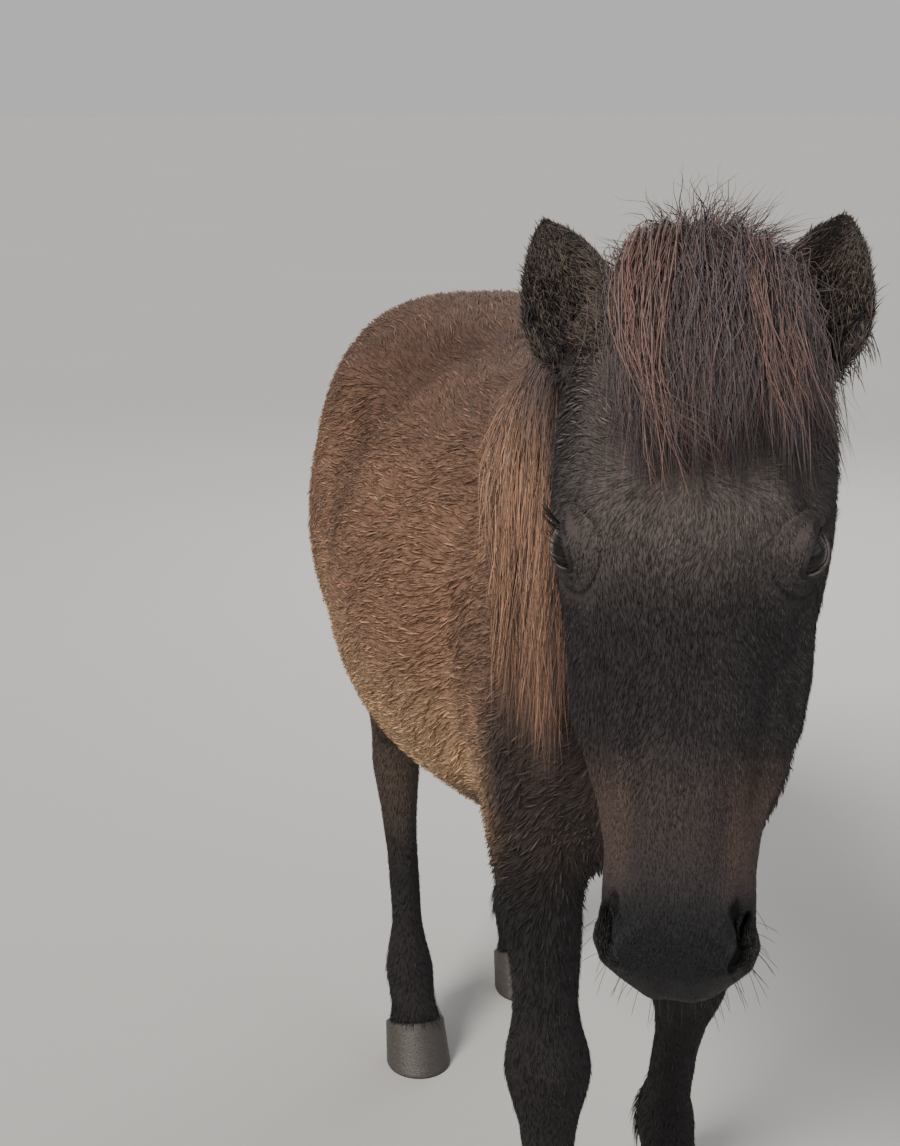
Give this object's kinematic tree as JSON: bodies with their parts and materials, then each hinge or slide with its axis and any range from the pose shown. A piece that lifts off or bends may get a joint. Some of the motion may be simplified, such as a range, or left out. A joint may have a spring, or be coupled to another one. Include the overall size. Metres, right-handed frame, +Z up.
{
  "type": "shetland pony",
  "caption": "Shetland pony standing in mid-stride with its head turned to its right, with a dense short coat, a heavy mane, a long forelock and a full hanging tail.",
  "frame": {"origin": "on the ground, under the middle of the model's box", "axes": "the pony faces -Y, its left side is +X and +Z is up"},
  "size_m": [0.4238, 1.3628, 1.085],
  "materials": {
    "body_coat": "dense short brown hair with paler tips",
    "face_coat": "short dark brown hair",
    "leg_coat": "short black-brown hair",
    "long_hair": "long coarse black-brown hair, bleached reddish at the ends",
    "hoof_horn": "dark horn",
    "eye": "wet dark brown"
  },
  "bodies": {
    "root": {"torso": "body_coat", "neck": "body_coat", "head": "face_coat", "ear_left": "face_coat", "ear_right": "face_coat", "eye_left": "eye", "eye_right": "eye", "mane": "long_hair", "forelock": "long_hair", "tail": "long_hair", "foreleg_left": "leg_coat", "hoof_fore_left": "hoof_horn", "hindleg_left": "leg_coat", "hoof_hind_left": "hoof_horn", "foreleg_right": "leg_coat", "hoof_fore_right": "hoof_horn", "hindleg_right": "leg_coat", "hoof_hind_right": "hoof_horn"}
  },
  "joints": []
}
